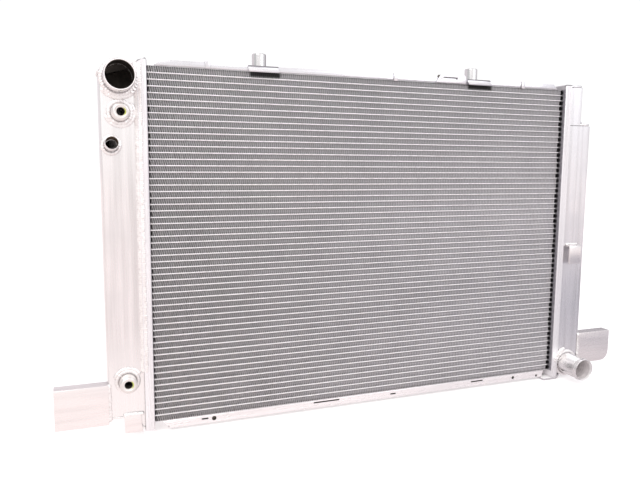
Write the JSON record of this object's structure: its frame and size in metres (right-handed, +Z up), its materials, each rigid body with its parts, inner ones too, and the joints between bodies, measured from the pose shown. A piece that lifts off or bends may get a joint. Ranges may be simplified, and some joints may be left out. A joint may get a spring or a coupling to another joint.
{
  "type": "car radiator",
  "caption": "Welded aluminium crossflow car radiator: brazed core between two end tanks, hose necks, oil cooler fittings, top locating pins and bottom carrier arms.",
  "frame": {"origin": "bottom centre of the radiator's bounding box", "axes": "+X from the inlet tank towards the outlet tank along the radiator's width, +Y from the hose side towards the back through its depth, +Z up"},
  "size_m": [0.887, 0.098, 0.5013],
  "materials": {
    "core_alloy": "brazed, dull",
    "sheet_alloy": "brushed sheet",
    "channel_alloy": "mill finish",
    "machined_alloy": "turned, bright",
    "seal_rubber": "matt yellow-green"
  },
  "bodies": {
    "root": {"bleed_neck": "machined_alloy", "bottom_side_channel": "channel_alloy", "brazed_core": "core_alloy", "inlet_neck": "machined_alloy", "left_bottom_foot": "sheet_alloy", "left_header_plate": "sheet_alloy", "left_mount_arm": "sheet_alloy", "left_mount_pin": "machined_alloy", "left_pin_saddle": "sheet_alloy", "left_tank_bottom_cap": "sheet_alloy", "left_tank_shell": "sheet_alloy", "left_tank_top_cap": "sheet_alloy", "lower_oil_fitting": "machined_alloy", "lower_oil_seal": "seal_rubber", "oil_cooler_inner_tube": "sheet_alloy", "oil_cooler_lower_ring": "sheet_alloy", "oil_cooler_outer_tube": "sheet_alloy", "oil_cooler_upper_ring": "sheet_alloy", "outlet_neck": "machined_alloy", "right_header_plate": "sheet_alloy", "right_mount_arm": "sheet_alloy", "right_mount_pin": "machined_alloy", "right_pin_saddle": "sheet_alloy", "right_tank_bottom_cap": "sheet_alloy", "right_tank_shell": "sheet_alloy", "right_tank_step_plate": "sheet_alloy", "right_tank_tab": "sheet_alloy", "right_tank_top_cap": "sheet_alloy", "right_tank_upper_shell": "sheet_alloy", "slotted_top_tab": "sheet_alloy", "top_clip_left": "channel_alloy", "top_clip_middle": "channel_alloy", "top_clip_right": "channel_alloy", "top_side_channel": "channel_alloy", "upper_oil_fitting": "machined_alloy", "upper_oil_seal": "seal_rubber"}
  },
  "joints": []
}
